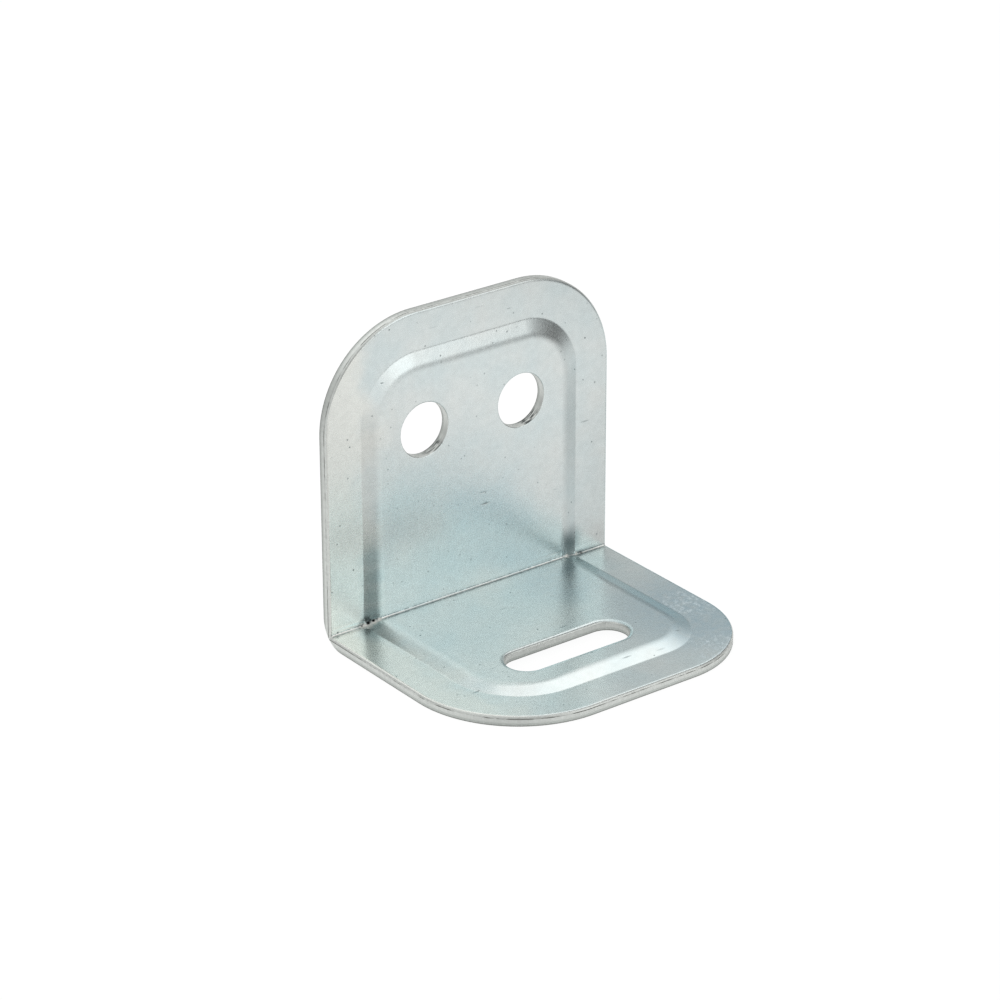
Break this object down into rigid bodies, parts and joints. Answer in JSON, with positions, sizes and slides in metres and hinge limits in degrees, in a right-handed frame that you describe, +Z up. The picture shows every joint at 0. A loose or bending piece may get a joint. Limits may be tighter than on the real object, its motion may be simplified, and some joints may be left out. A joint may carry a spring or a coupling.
{
  "type": "angle bracket",
  "caption": "Folded sheet angle bracket with a raised middle panel, two round holes in the upright leg and a slot in the foot leg.",
  "frame": {"origin": "middle of the bounding box's base, on the plane of the foot leg's rim", "axes": "+X across the width, +Z up along the upright leg, -Y towards the front edge of the foot leg; the upright leg's rim backs onto the plane at +Y"},
  "size_m": [0.05, 0.04, 0.0474],
  "materials": {
    "zinc_steel": "bright zinc plating with a pale blue passivation, satin to glossy, cold-rolled sheet under it"
  },
  "bodies": {
    "root": {"bracket": "zinc_steel"}
  },
  "joints": []
}
